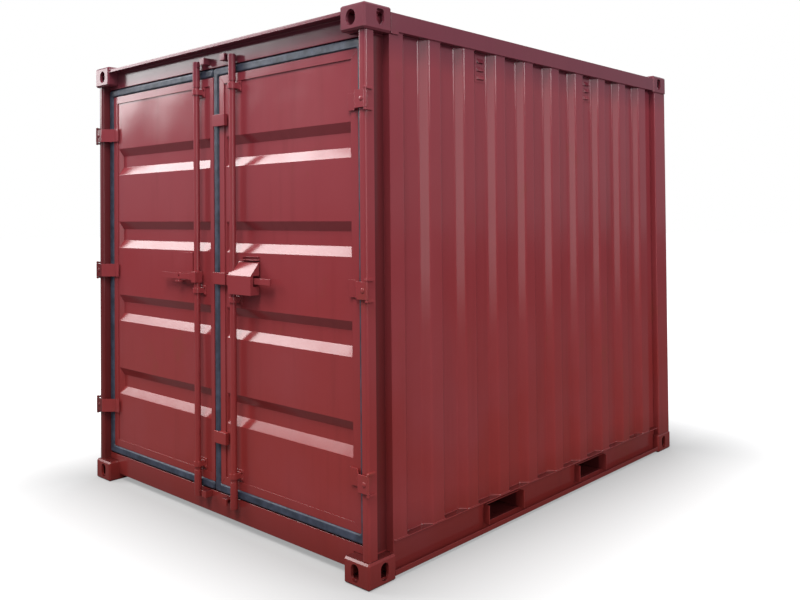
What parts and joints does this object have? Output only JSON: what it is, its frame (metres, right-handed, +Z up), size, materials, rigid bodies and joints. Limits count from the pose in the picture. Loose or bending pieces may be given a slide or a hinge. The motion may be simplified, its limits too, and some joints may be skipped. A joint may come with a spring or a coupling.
{
  "type": "shipping container",
  "caption": "Short steel storage container with corrugated walls, swinging cargo doors, turning lock bars, a lock box, fork pockets and corner castings.",
  "frame": {"origin": "on the ground under the middle of the container", "axes": "+Z up, the cargo doors face -Y, +X is to the right of a person who faces the doors"},
  "size_m": [2.438, 2.991, 2.591],
  "materials": {
    "oxide_paint": "semi gloss",
    "seal_rubber": "satin",
    "floor_plywood": "matt"
  },
  "bodies": {
    "container": {"bottom_side_rail_left": "oxide_paint", "bottom_side_rail_right": "oxide_paint", "casting_low_door_left": "oxide_paint", "casting_low_door_right": "oxide_paint", "casting_low_rear_left": "oxide_paint", "casting_low_rear_right": "oxide_paint", "casting_top_door_left": "oxide_paint", "casting_top_door_right": "oxide_paint", "casting_top_rear_left": "oxide_paint", "casting_top_rear_right": "oxide_paint", "cross_members": "oxide_paint", "door_header": "oxide_paint", "door_post_left": "oxide_paint", "door_post_right": "oxide_paint", "door_sill": "oxide_paint", "end_wall": "oxide_paint", "floor_boards": "floor_plywood", "fork_pocket_plates": "oxide_paint", "fork_pocket_sides": "oxide_paint", "header_keepers": "oxide_paint", "hinge_ears_left": "oxide_paint", "hinge_ears_right": "oxide_paint", "rear_bottom_rail": "oxide_paint", "rear_post_left": "oxide_paint", "rear_post_right": "oxide_paint", "rear_top_rail": "oxide_paint", "roof_panel": "oxide_paint", "side_wall_left": "oxide_paint", "side_wall_right": "oxide_paint", "sill_keepers": "oxide_paint", "top_side_rail_left": "oxide_paint", "top_side_rail_right": "oxide_paint", "wall_vents_left": "oxide_paint", "wall_vents_right": "oxide_paint"},
    "left_leaf": {"leaf_frame_left": "oxide_paint", "leaf_panel_left": "oxide_paint", "seal_left": "seal_rubber", "hinge_blades_left": "oxide_paint", "bar_guides_left": "oxide_paint", "handle_catch_left": "oxide_paint"},
    "right_leaf": {"leaf_frame_right": "oxide_paint", "leaf_panel_right": "oxide_paint", "seal_right": "seal_rubber", "hinge_blades_right": "oxide_paint", "bar_guides_right": "oxide_paint", "cover_plates": "oxide_paint"},
    "left_bar": {"lock_bar_left": "oxide_paint", "handle_fork_left": "oxide_paint"},
    "right_bar": {"lock_bar_right": "oxide_paint", "handle_right": "oxide_paint", "lock_box": "oxide_paint"},
    "left_handle": {"handle_left": "oxide_paint"}
  },
  "joints": [
    {"name": "left_leaf_swing", "type": "hinge", "parent": "container", "child": "left_leaf", "pos_m": [-1.2115, -1.488, 1.312], "axis": [0, 0, -1], "range_deg": [0, 270]},
    {"name": "right_leaf_swing", "type": "hinge", "parent": "container", "child": "right_leaf", "pos_m": [1.2115, -1.488, 1.312], "axis": [0, 0, 1], "range_deg": [0, 270]},
    {"name": "left_bar_turn", "type": "hinge", "parent": "left_leaf", "child": "left_bar", "pos_m": [-0.14, -1.459, 1.312], "axis": [0, 0, -1], "range_deg": [-95, 0]},
    {"name": "right_bar_turn", "type": "hinge", "parent": "right_leaf", "child": "right_bar", "pos_m": [0.191, -1.459, 1.312], "axis": [0, 0, 1], "range_deg": [-95, 0]},
    {"name": "left_handle_lift", "type": "hinge", "parent": "left_bar", "child": "left_handle", "pos_m": [-0.178, -1.459, 1.312], "axis": [0, -1, 0], "range_deg": [-25, 0]}
  ]
}
